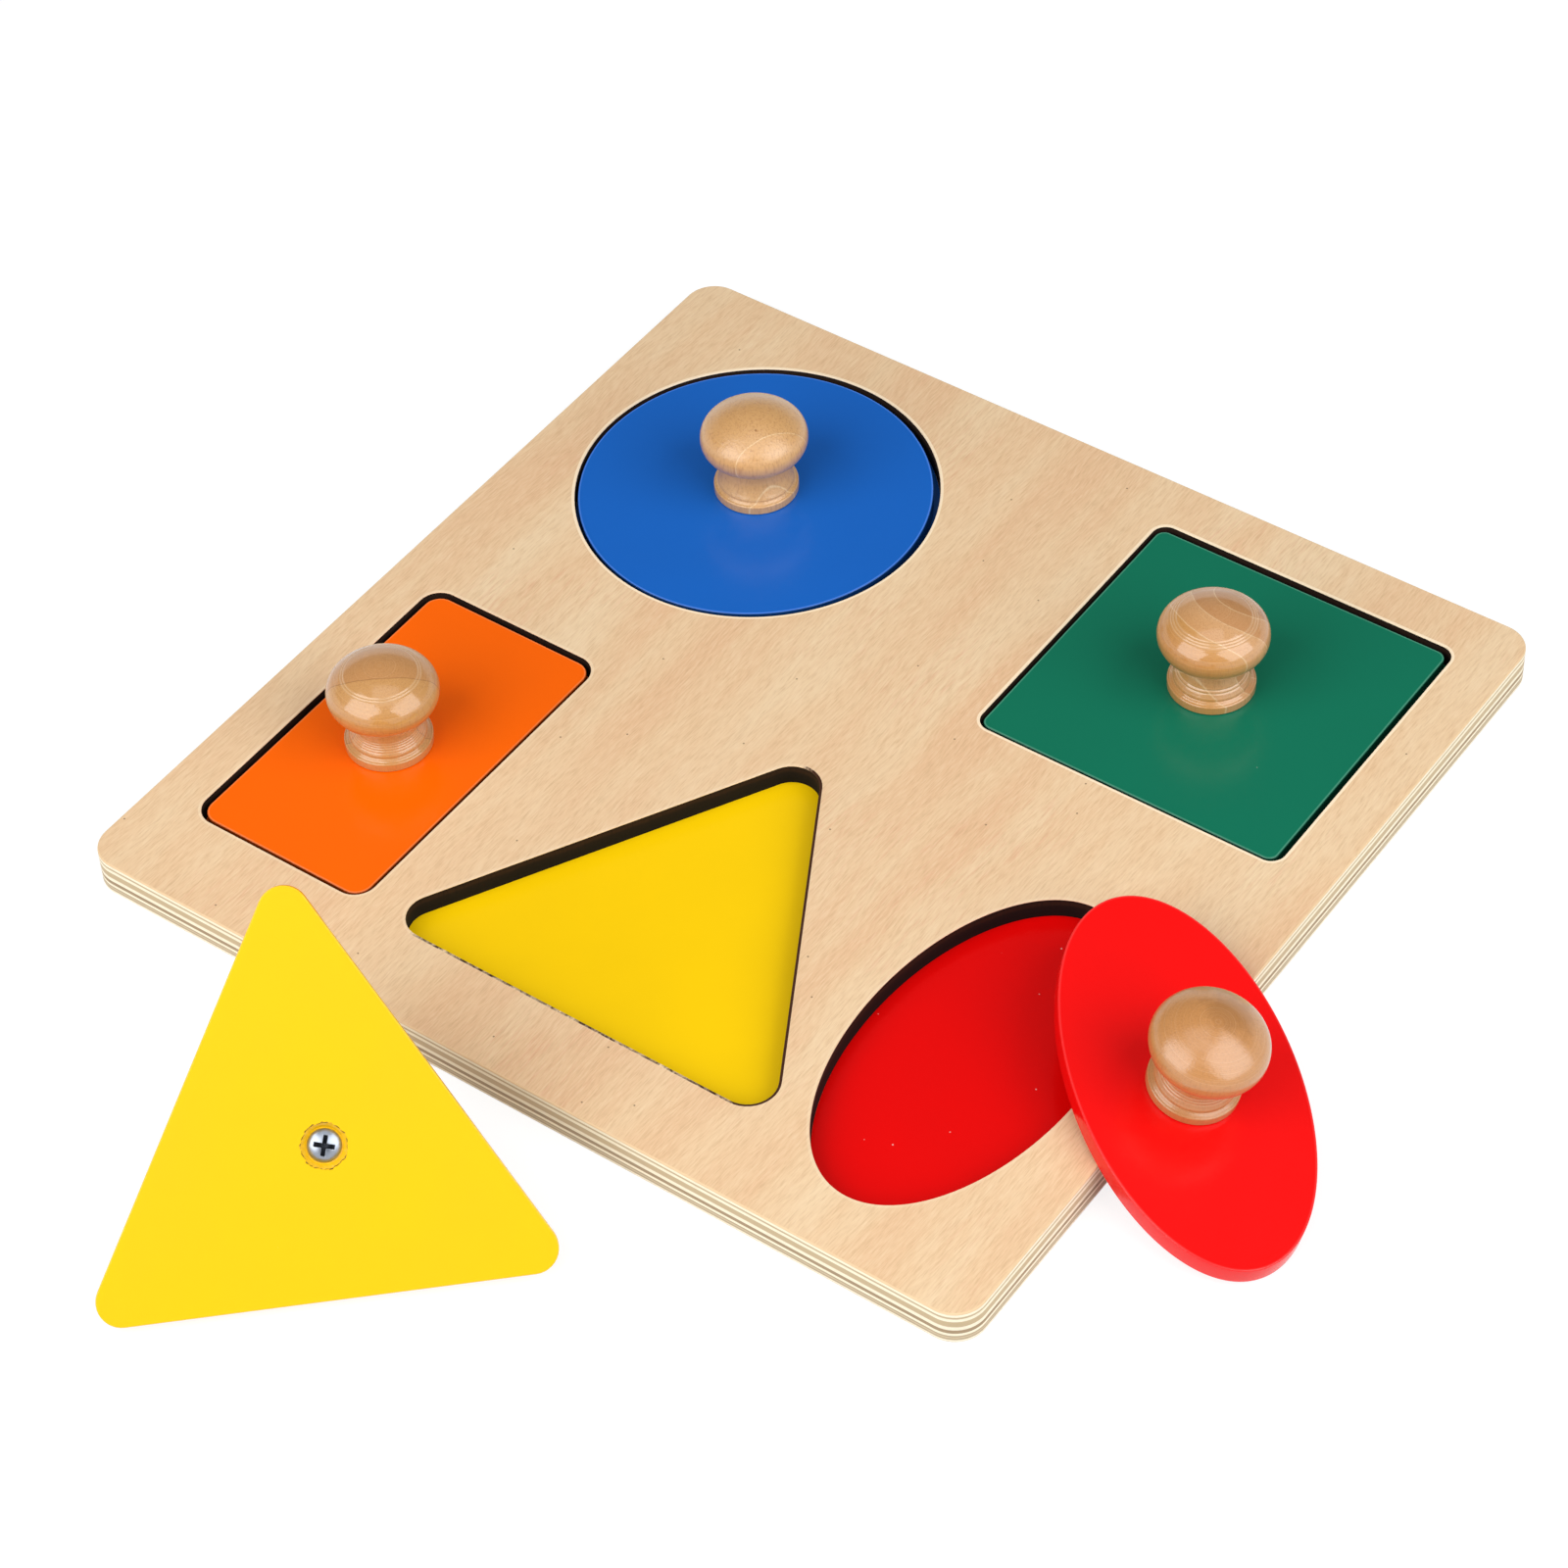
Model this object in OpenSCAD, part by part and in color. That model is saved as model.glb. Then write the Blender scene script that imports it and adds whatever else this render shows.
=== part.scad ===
// Wooden peg puzzle.
// A two-layer plywood board has five shaped recesses with coloured floors.
// Five painted insets fit the recesses, each with a turned knob screwed on from behind.
// Three insets lie in the board. The triangle lies on the table, face down on its knob,
// and the oval leans on the board's right edge.
// The origin is the middle of the board's underside, X runs along the front edge, Z is up.

/* [Board] */
// Width of the board along its front edge
board_w = 300; // [220:1:400]
// Depth of the board from front to back
board_d = 300; // [220:1:400]
// Radius of the board's corners
board_r = 9.5; // [2:0.5:16]
// Thickness of the upper panel, which is cut right through
frame_t = 7; // [6.5:0.1:10]
// Thickness of the lower panel, which closes the recesses
base_t = 5; // [3:0.1:9]
// Thickness of the coloured floor in each recess
floor_t = 0.3; // [0.2:0.05:0.6]

/* [Insets] */
// Thickness of the inset plates
plate_t = 5.7; // [4.5:0.1:6.2]
// Diameter of the round inset
circle_d = 108.4; // [90:0.1:112]
// Side of the square inset
square_w = 98.4; // [80:0.1:102]
// Corner radius of the square inset
square_r = 3.2; // [1:0.1:10]
// Width of the rectangular inset
rectangle_w = 58.9; // [45:0.1:62]
// Length of the rectangular inset
rectangle_d = 108.8; // [90:0.1:115]
// Corner radius of the rectangular inset
rectangle_r = 5.3; // [1:0.1:12]
// Base of the triangular inset, measured to its sharp corners
triangle_w = 130.6; // [110:0.1:132]
// Height of the triangular inset, measured to its sharp corners
triangle_h = 116; // [100:0.1:122]
// Corner radius of the triangular inset
triangle_r = 6.8; // [2:0.1:12]
// Width of the oval inset
oval_w = 63.4; // [50:0.1:66]
// Length of the oval inset
oval_d = 119; // [100:0.1:124]

/* [Layout] */
// Wood left between the board's left and back edges and the round cut-out
circle_rim = [16, 16.6]; // [10:0.1:24]
// Wood left between the board's right and back edges and the square cut-out
square_rim = [16.7, 17.7]; // [10:0.1:24]
// Wood left between the board's left and front edges and the rectangular cut-out
rectangle_rim = [15.9, 28.4]; // [10:0.1:32]
// Triangle's distance right of the board's middle, and wood left in front of its cut-out
triangle_rim = [2.6, 27.4]; // [0:0.1:32]
// Wood left between the board's right and front edges and the oval cut-out
oval_rim = [16.5, 17.9]; // [10:0.1:24]

/* [Fits] */
// Play all round between an inset and the wall of its cut-out
fit_gap = 1.5; // [1:0.1:2.2]
// Play all round between a coloured floor and the wall of its cut-out
floor_gap = 0.1; // [0.05:0.05:0.4]
// Play round the screw in the plate's hole
hole_gap = 0.3; // [0.1:0.05:0.6]
// Play round the screw's core in the knob's pilot hole
pilot_gap = 0.05; // [0.02:0.01:0.2]
// Air between a leaning inset and the board's edge
lean_gap = 0.25; // [0.1:0.05:0.5]
// Air between a leaning inset and the table
table_gap = 0.1; // [0.05:0.05:0.3]

/* [Knob] */
// Height of the knob
knob_h = 30.7; // [29:0.1:36]
// Diameter of the knob's head
head_d = 32.8; // [30:0.1:38]
// Height of the head's widest line above the plate
head_z = 20.5; // [19:0.1:21.5]
// Radius of the head's rounding above its widest line
head_rim_r = 6.8; // [5:0.1:7.4]
// Radius of the head's rounding below its widest line
head_under_r = 6.3; // [4:0.1:7]
// Diameter of the knob's neck
neck_d = 18.1; // [15:0.1:20]
// Height of the neck's narrowest line above the plate
neck_z = 12.8; // [11:0.1:13.5]
// Diameter of the knob's foot
foot_d = 25.9; // [24:0.1:30]
// Height of the foot's upright ring
foot_h = 3.2; // [2:0.1:5]
// Rounding of the foot's two edges
foot_r = 0.6; // [0.2:0.05:0.9]
// Step in from the foot's ring to the hollow of the neck
foot_step = 0.7; // [0.3:0.05:1.5]

/* [Screw] */
// Diameter of the screw
screw_d = 4; // [3:0.1:5]
// Length of the screw under its head
screw_l = 20; // [14:0.5:24]
// Length of the screw's point
screw_point = 4; // [2:0.5:6]
// Diameter of the screw's head
screw_head_d = 9; // [7.5:0.1:9.5]
// Height of the screw head's upright rim
screw_rim_h = 0.7; // [0.4:0.1:1]
// Height of the screw head's dome above its rim
screw_dome_h = 1.5; // [0.8:0.1:1.6]
// Length of each arm pair of the cross recess
cross_l = 5; // [3.5:0.1:6]
// Width of the cross recess's arms
cross_w = 1.1; // [0.7:0.05:1.4]
// Depth of the cross recess
cross_t = 1.5; // [0.8:0.1:1.8]
// Diameter of the counterbore in the plate's back
counterbore_d = 12; // [10.5:0.1:14]
// Depth of the counterbore in the plate's back
counterbore_t = 2.5; // [2.3:0.1:3.2]

/* [Rest] */
// How far the round inset has slid from the middle of its recess
circle_slip = [-0.9, 0.2]; // [-0.9:0.1:0.9]
// How far the square inset has slid from the middle of its recess
square_slip = [-0.5, -0.1]; // [-0.9:0.1:0.9]
// How far the rectangular inset has slid from the middle of its recess
rectangle_slip = [0.1, 0]; // [-0.9:0.1:0.9]
// Where the middle of the triangle's lower edge lies on the table, right of and before the board
triangle_lie = [2.8, 77.3]; // [0:0.1:110]
// Turn of the triangle's lower edge from the board's front edge, in degrees
triangle_turn = 43.2; // [30:0.1:60]
// How far the oval's middle is past the board's right edge, and before the board's middle
oval_lie = [4.3, 52.1]; // [0:0.1:70]
// Turn of the oval's long axis from the board's right edge, in degrees
oval_turn = 50.5; // [40:0.1:60]

/* [Hole places] */
// Round inset's screw hole from the plate's middle
circle_hole = [-0.7, 1.6]; // [-4:0.1:4]
// Square inset's screw hole from the plate's middle
square_hole = [-2, 1.3]; // [-4:0.1:4]
// Rectangular inset's screw hole from the plate's middle
rectangle_hole = [-2.4, -1.4]; // [-4:0.1:4]
// Triangular inset's screw hole from the middle of the circle that fits inside it
triangle_hole = [-3.1, 2.1]; // [-4:0.1:4]
// Oval inset's screw hole from the plate's middle
oval_hole = [0.9, -2.2]; // [-4:0.1:4]

/* [Hidden] */
SHAPES = ["circle", "square", "rectangle", "triangle", "oval"];
$fn = 96;

// How far a cutting tool runs past the face that it cuts
over = 1;
// Points along each arc of the knob's outline
arc_steps = 8;
// Air past the screw's point in the knob's pilot hole
pilot_end = 1;
// How far the triangle's straight sides lie inside its corner circles, so that they cross cleanly
side_in = 0.01;
// Side of the board that the insets' widths and the wood left round them are given for
drawn_for = 300;

wood = "burlywood";
blue = [0.12, 0.38, 0.73];
green = [0.10, 0.44, 0.33];
orange = [1.00, 0.42, 0.05];
yellow = [1.00, 0.85, 0.12];
red = [0.92, 0.08, 0.08];
steel = "silver";

board_t = base_t + frame_t;
floor_z = base_t + floor_t;

// On a larger or smaller board the insets and the wood round them stretch with it.
// The circle and the square stay true, and thicknesses, radii, knobs and play keep their sizes.
stretch = [board_w, board_d] / drawn_for;
even_stretch = min(stretch.x, stretch.y);
circle_size = even_stretch * [circle_d, circle_d];
square_size = even_stretch * [square_w, square_w];
rectangle_size = [stretch.x * rectangle_w, stretch.y * rectangle_d];
triangle_size = [stretch.x * triangle_w, stretch.y * triangle_h];
oval_size = [stretch.x * oval_w, stretch.y * oval_d];

// Radius of the circle that fits inside the sharp-cornered triangle
triangle_leg = norm([triangle_size.x / 2, triangle_size.y]);
triangle_in_r = triangle_size.x * triangle_size.y / (triangle_size.x + 2 * triangle_leg);
triangle_base_angle = atan2(triangle_size.y, triangle_size.x / 2);

// The middle of each recess on the board
function recess_at(shape) =
    shape == "circle" ? in_corner([-1, 1], circle_rim, circle_size)
    : shape == "square" ? in_corner([1, 1], square_rim, square_size)
    : shape == "rectangle" ? in_corner([-1, -1], rectangle_rim, rectangle_size)
    : shape == "triangle" ? [
        stretch.x * triangle_rim.x,
        -board_d / 2 + stretch.y * triangle_rim.y + fit_gap + triangle_in_r]
    : in_corner([1, -1], oval_rim, oval_size);

// The middle of a recess in one corner of the board, from the wood left outside it
function in_corner(corner, rim, size) = [
    corner.x * (board_w / 2 - stretch.x * rim.x - fit_gap - size.x / 2),
    corner.y * (board_d / 2 - stretch.y * rim.y - fit_gap - size.y / 2)
];

// The screw hole's place on each plate, seen from the knob's side
function hole_at(shape) =
    shape == "circle" ? circle_hole
    : shape == "square" ? square_hole
    : shape == "rectangle" ? rectangle_hole
    : shape == "triangle" ? triangle_hole
    : oval_hole;

// The outline of an inset, grown by a clearance
module outline(shape, grow = 0) {
    if (shape == "circle") circle(d = circle_size.x + 2 * grow);
    if (shape == "square") rounded_rectangle(square_size, square_r, grow);
    if (shape == "rectangle") rounded_rectangle(rectangle_size, rectangle_r, grow);
    if (shape == "triangle") rounded_triangle(triangle_r, grow);
    if (shape == "oval") scale([oval_size.x / 2 + grow, oval_size.y / 2 + grow]) circle(r = 1);
}

// A rectangle with round corners: two crossed rectangles and a circle in each corner
module rounded_rectangle(size, r, grow = 0) {
    inner = size / 2 - [r, r];
    outer_r = r + grow;
    square([2 * inner.x, 2 * (inner.y + outer_r)], center = true);
    square([2 * (inner.x + outer_r), 2 * inner.y], center = true);
    for (sx = [-1, 1], sy = [-1, 1])
        translate([sx * inner.x, sy * inner.y]) circle(r = outer_r);
}

// The centres of the triangle's corner circles, from the left corner round to the top
function corner_centres(r) =
    let (k = (triangle_in_r - r) / triangle_in_r)
    [
        k * [-triangle_size.x / 2, -triangle_in_r],
        k * [triangle_size.x / 2, -triangle_in_r],
        k * [0, triangle_size.y - triangle_in_r]
    ];

// An isosceles triangle with round corners: each side runs straight from corner circle to corner circle
module rounded_triangle(r, grow = 0) {
    centres = corner_centres(r);
    outer_r = r + grow;
    side_r = outer_r - side_in;
    out = [-90, 90 - triangle_base_angle, 90 + triangle_base_angle];
    sides = [for (i = [0:2], j = [i, (i + 1) % 3]) centres[j] + side_r * [cos(out[i]), sin(out[i])]];
    polygon(sides);
    for (c = centres) translate(c) circle(r = outer_r);
}

function arc(centre, r, from, to) = [
    for (i = [0:arc_steps])
        let (a = from + (to - from) * i / arc_steps)
        centre + r * [cos(a), sin(a)]
];

// The knob's outline, from its foot up: ring, hollow neck, round head and domed top
head_r = head_d / 2;
neck_r = neck_d / 2;
rim_c = [head_r - head_rim_r, head_z];
under_c = [head_r - head_under_r, head_z];
dome_rise = knob_h - head_z;
dome_r = (rim_c.x ^ 2 + dome_rise ^ 2 - head_rim_r ^ 2) / (2 * (dome_rise - head_rim_r));
dome_c = [0, knob_h - dome_r];
dome_from = atan2(rim_c.y - dome_c.y, rim_c.x);
neck_in = head_r - neck_r;
throat_r = (neck_in ^ 2 + (head_z - neck_z) ^ 2) / (2 * neck_in) - head_under_r;
throat_c = [neck_r + throat_r, neck_z];
throat_to = atan2(under_c.y - throat_c.y, under_c.x - throat_c.x);
hollow_start = [foot_d / 2 - foot_step, foot_h + foot_r / 2];
hollow_in = hollow_start.x - neck_r;
hollow_rise = neck_z - hollow_start.y;
hollow_r = (hollow_in ^ 2 + hollow_rise ^ 2) / (2 * hollow_in);
hollow_c = [neck_r + hollow_r, neck_z];
hollow_from = 180 + atan2(hollow_rise, hollow_r - hollow_in);

knob_outline = concat(
    [[0, 0]],
    arc([foot_d / 2 - foot_r, foot_r], foot_r, -90, 0),
    arc([foot_d / 2 - foot_r, foot_h - foot_r], foot_r, 0, 90),
    arc(hollow_c, hollow_r, hollow_from, 180),
    arc(throat_c, throat_r, 180, throat_to),
    arc(under_c, head_under_r, throat_to - 180, 0),
    arc(rim_c, head_rim_r, 0, dome_from),
    arc(dome_c, dome_r, dome_from, 90)
);

// Tilt at which the triangle lies on its lower edge and on its knob's rim
knob_reach = [triangle_in_r + triangle_hole.y - rim_c.x, head_z];
triangle_tilt = atan2(knob_reach.y, knob_reach.x) + asin(head_rim_r / norm(knob_reach));

// Tilt at which the oval's back lies on the board's edge and its low end on the table
oval_reach = norm([oval_size.x / 2 * cos(oval_turn), oval_size.y / 2 * sin(oval_turn)]);
oval_tilt = asin((board_t + lean_gap - table_gap) / (oval_lie.x + oval_reach));

// Puts an inset, drawn flat with its back at z = 0, where it lies at rest
module at_rest(shape) {
    if (shape == "circle") seated(recess_at(shape) + circle_slip) children();
    if (shape == "square") seated(recess_at(shape) + square_slip) children();
    if (shape == "rectangle") seated(recess_at(shape) + rectangle_slip) children();
    if (shape == "triangle") face_down() children();
    if (shape == "oval") leaning() children();
}

module seated(at) {
    translate([at.x, at.y, floor_z]) children();
}

// On the table before the board, resting on its lower edge and its knob
module face_down() {
    translate([triangle_lie.x, -board_d / 2 - triangle_lie.y, table_gap])
        rotate([0, 0, triangle_turn])
            rotate([triangle_tilt, 0, 0])
                translate([0, triangle_in_r, plate_t])
                    rotate([0, 180, 0]) children();
}

// Against the board's right edge, with its low end on the table
module leaning() {
    translate([board_w / 2, -oval_lie.y, board_t + lean_gap])
        rotate([0, oval_tilt, 0])
            translate([oval_lie.x, 0, 0])
                rotate([0, 0, oval_turn]) children();
}

module floor_sheet(shape) {
    at = recess_at(shape);
    translate([at.x, at.y, base_t])
        linear_extrude(floor_t) outline(shape, fit_gap - floor_gap);
}

module plate(shape) {
    at_rest(shape) difference() {
        linear_extrude(plate_t) outline(shape);
        translate([hole_at(shape).x, hole_at(shape).y, -over]) {
            cylinder(d = screw_d + 2 * hole_gap, h = plate_t + 2 * over);
            cylinder(d = counterbore_d, h = counterbore_t + over);
        }
    }
}

module knob(shape) {
    pilot_t = screw_l - (plate_t - counterbore_t) + pilot_end;
    at_rest(shape) translate([hole_at(shape).x, hole_at(shape).y, plate_t]) difference() {
        rotate_extrude() polygon(knob_outline);
        translate([0, 0, -over]) cylinder(d = screw_d + 2 * pilot_gap, h = pilot_t + over);
    }
}

module screw(shape) {
    screw_r = screw_head_d / 2;
    ball_r = (screw_r ^ 2 + screw_dome_h ^ 2) / (2 * screw_dome_h);
    head_h = screw_rim_h + screw_dome_h;
    at_rest(shape) translate([hole_at(shape).x, hole_at(shape).y, counterbore_t]) difference() {
        union() {
            intersection() {
                translate([0, 0, -head_h]) cylinder(d = screw_head_d, h = head_h);
                translate([0, 0, ball_r - head_h]) sphere(r = ball_r);
            }
            cylinder(d = screw_d, h = screw_l - screw_point);
            translate([0, 0, screw_l - screw_point])
                cylinder(d1 = screw_d, d2 = screw_d / 8, h = screw_point);
        }
        for (turn = [0, 90]) rotate([0, 0, turn])
            translate([-cross_l / 2, -cross_w / 2, -head_h - over])
                cube([cross_l, cross_w, cross_t + over]);
    }
}

module frame_panel() {
    color(wood) translate([0, 0, base_t]) linear_extrude(frame_t) difference() {
        rounded_rectangle([board_w, board_d], board_r);
        for (shape = SHAPES) translate(recess_at(shape)) outline(shape, fit_gap);
    }
}

module base_panel() {
    color(wood) linear_extrude(base_t) rounded_rectangle([board_w, board_d], board_r);
}

module circle_floor() { color(blue) floor_sheet("circle"); }
module square_floor() { color(green) floor_sheet("square"); }
module rectangle_floor() { color(orange) floor_sheet("rectangle"); }
module triangle_floor() { color(yellow) floor_sheet("triangle"); }
module oval_floor() { color(red) floor_sheet("oval"); }

module circle_plate() { color(blue) plate("circle"); }
module square_plate() { color(green) plate("square"); }
module rectangle_plate() { color(orange) plate("rectangle"); }
module triangle_plate() { color(yellow) plate("triangle"); }
module oval_plate() { color(red) plate("oval"); }

module circle_knob() { color(wood) knob("circle"); }
module square_knob() { color(wood) knob("square"); }
module rectangle_knob() { color(wood) knob("rectangle"); }
module triangle_knob() { color(wood) knob("triangle"); }
module oval_knob() { color(wood) knob("oval"); }

module circle_screw() { color(steel) screw("circle"); }
module square_screw() { color(steel) screw("square"); }
module rectangle_screw() { color(steel) screw("rectangle"); }
module triangle_screw() { color(steel) screw("triangle"); }
module oval_screw() { color(steel) screw("oval"); }

frame_panel();
base_panel();
circle_floor();
square_floor();
rectangle_floor();
triangle_floor();
oval_floor();
circle_plate();
square_plate();
rectangle_plate();
triangle_plate();
oval_plate();
circle_knob();
square_knob();
rectangle_knob();
triangle_knob();
oval_knob();
circle_screw();
square_screw();
rectangle_screw();
triangle_screw();
oval_screw();
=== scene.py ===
"""A wooden peg puzzle: a two-layer plywood board with five shaped recesses, and for each recess a painted
inset with a turned knob. Three insets lie in the board, the triangle lies face down before it and the oval
leans on its right edge."""
from math import asin, atan2, cos, hypot, pi, radians, sin

import bpy
import numpy as np
from mathutils import Matrix, Quaternion, Vector
from mathutils.geometry import tessellate_polygon


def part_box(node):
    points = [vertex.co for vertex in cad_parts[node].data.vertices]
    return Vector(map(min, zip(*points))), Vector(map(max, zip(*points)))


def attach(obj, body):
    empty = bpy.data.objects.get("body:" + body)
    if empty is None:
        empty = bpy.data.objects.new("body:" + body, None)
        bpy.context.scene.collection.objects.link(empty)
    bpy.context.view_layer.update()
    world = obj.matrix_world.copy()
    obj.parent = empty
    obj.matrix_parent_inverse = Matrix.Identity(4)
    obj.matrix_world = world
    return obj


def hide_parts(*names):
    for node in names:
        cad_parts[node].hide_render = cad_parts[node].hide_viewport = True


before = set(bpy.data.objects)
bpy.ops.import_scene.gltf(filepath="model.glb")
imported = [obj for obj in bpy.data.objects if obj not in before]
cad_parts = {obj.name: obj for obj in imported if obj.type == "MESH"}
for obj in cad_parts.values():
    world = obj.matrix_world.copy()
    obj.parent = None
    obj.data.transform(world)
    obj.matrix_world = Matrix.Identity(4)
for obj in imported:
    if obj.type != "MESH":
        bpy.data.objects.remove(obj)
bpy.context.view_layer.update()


# Base panel
# The lower sheet of the board: 5 mm birch plywood that closes the recesses from below. It is glued under
# the upper sheet, and both are sawn and sanded as one blank, so that their edges run flush.
MM = 0.001  # sizes are in millimetres, and the scene is in metres
board_corner_r = 9.5
board_arris_r = 0.4
glue_arris_r = 0.05


def node_box(name):
    """The lowest and highest corner of a solid, in millimetres."""
    lo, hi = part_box(name)
    return np.array(lo) / MM, np.array(hi) / MM


def rounded_outline(centres, r, corner_steps=12, side_step=5.0):
    """A closed outline with round corners, counter-clockwise: arcs of radius r round the centres, and the
    straight lines that touch them. Returns its points and the directions that face out of it."""
    centres = np.asarray(centres, float)
    along = np.roll(centres, -1, 0) - centres
    out = np.arctan2(-along[:, 0], along[:, 1])
    turn = (out - np.roll(out, 1)) % (2 * pi)
    points, aims = [], []
    for i, centre in enumerate(centres):
        angle = out[i - 1] + turn[i] * np.linspace(0, 1, corner_steps + 1)
        aim = np.stack([np.cos(angle), np.sin(angle)], 1)
        steps = max(int(hypot(*along[i]) / side_step), 1)
        side = centre + np.linspace(0, 1, steps + 1)[1:-1, None] * along[i]
        points += [centre + r * aim, side + r * aim[-1]]
        aims += [aim, np.repeat(aim[-1:], len(side), 0)]
    return np.concatenate(points), np.concatenate(aims)


def wall_profile(low, high, low_r, high_r, steps=6):
    """Rows of (distance in from the outline, height) down an upright wall: a quarter circle over its upper
    edge, a straight drop and a quarter circle under its lower edge."""
    a = np.linspace(0, pi / 2, steps + 1)
    upper = np.stack([high_r * (1 - np.sin(a)), high - high_r * (1 - np.cos(a))], 1)
    lower = np.stack([low_r * (1 - np.cos(a)), low + low_r * (1 - np.sin(a))], 1)
    return np.concatenate([upper, lower])


def ring_faces(rings, count, start=0, closed=False):
    """Four-sided faces between neighbouring rings of count points each, and from the last ring back to the
    first where the surface closes on itself."""
    ring = np.arange(rings if closed else rings - 1)[:, None]
    point = np.arange(count)[None, :]
    below, beside = (ring + 1) % rings, (point + 1) % count
    corners = [ring * count + point, below * count + point, below * count + beside, ring * count + beside]
    return start + np.stack(np.broadcast_arrays(*corners), -1).reshape(-1, 4)


def filled_loops(points, loops, up):
    """Triangles that fill a flat face bounded by the loops of point numbers, facing up or down."""
    flat = [[Vector((*points[i, :2], 0)) for i in loop] for loop in loops]
    fan = np.concatenate(loops)[np.array(tessellate_polygon(flat))]
    a, b, c = (points[fan[:, i], :2] for i in range(3))
    area = np.cross(b - a, c - a)
    return np.where(((area > 0) == up)[:, None], fan, fan[:, ::-1])


def panel(walls):
    """A flat sheet from its walls. A wall is an outline with the directions out of the wood, and a profile
    whose rows draw the outline in and set its height. The end rings of all the walls bound the two faces.
    Returns points, upper face, lower face, and each wall's faces as (rows, points round, 4)."""
    points, sides, tops, bottoms, start = [], [], [], [], 0
    for outline, aims, profile in walls:
        plan = outline[None] - profile[:, 0, None, None] * aims[None]
        height = np.broadcast_to(profile[:, 1, None, None], (*plan.shape[:2], 1))
        points.append(np.concatenate([plan, height], 2).reshape(-1, 3))
        rows, count = plan.shape[:2]
        sides.append(ring_faces(rows, count, start).reshape(rows - 1, count, 4))
        tops.append(start + np.arange(count))
        bottoms.append(start + (rows - 1) * count + np.arange(count))
        start += rows * count
    points = np.concatenate(points)
    return points, filled_loops(points, tops, True), filled_loops(points, bottoms, False), sides


def add_piece(name, body, slot, points, patches, materials, **attributes):
    """Makes a piece that stands for the solid of its own name without the ending. A patch is (faces,
    material number, smooth), and each attribute holds one number or one vector for each point."""
    faces = [tuple(face) for patch in patches for face in np.asarray(patch[0]).tolist()]
    mesh = bpy.data.meshes.new(name)
    mesh.from_pydata((points * MM).tolist(), [], faces)
    sizes = [len(patch[0]) for patch in patches]
    mesh.polygons.foreach_set("material_index", np.repeat([patch[1] for patch in patches], sizes))
    mesh.polygons.foreach_set("use_smooth", np.repeat([patch[2] for patch in patches], sizes))
    for key, values in attributes.items():
        kind, field = ("FLOAT_VECTOR", "vector") if values.ndim == 2 else ("FLOAT", "value")
        mesh.attributes.new(key, kind, "POINT").data.foreach_set(field, values.astype(np.float32).ravel())
    for material in materials:
        mesh.materials.append(material)
    piece = bpy.data.objects.new(name, mesh)
    bpy.context.scene.collection.objects.link(piece)
    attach(piece, body)
    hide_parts(name.rsplit("_", 1)[0])
    return piece


def linear(code):
    """An sRGB hex colour as linear red, green, blue and alpha: ((c + 0.055) / 1.055) ^ 2.4, or c / 12.92
    in the dark."""
    c = np.array([int(code[i:i + 2], 16) for i in (1, 3, 5)]) / 255
    return (*np.where(c > 0.04045, ((c + 0.055) / 1.055) ** 2.4, c / 12.92).tolist(), 1.0)


def node(tree, kind, inputs, out=0, stops=(), **settings):
    """Adds a shader node and returns one of its outputs. An input is a plain value or the output that
    feeds it, settings go on the node itself, and stops are a colour ramp's (place, colour). A colour Mix
    has its share at input 0, its two colours at 6 and 7, and its result at output 2."""
    made = tree.nodes.new("ShaderNode" + kind)
    for key, value in settings.items():
        setattr(made, key, value)
    for key, value in inputs.items():
        if isinstance(value, bpy.types.NodeSocket):
            tree.links.new(value, made.inputs[key])
        else:
            made.inputs[key].default_value = value
    for i, (place, colour) in enumerate(stops):
        stop = made.color_ramp.elements[i] if i < 2 else made.color_ramp.elements.new(place)
        stop.position, stop.color = place, colour
    return made.outputs[out] if made.outputs else None


def new_material(name):
    """An empty node material and its tree."""
    material = bpy.data.materials.new(name)
    material.use_nodes = True
    material.node_tree.nodes.clear()
    return material, material.node_tree


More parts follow.
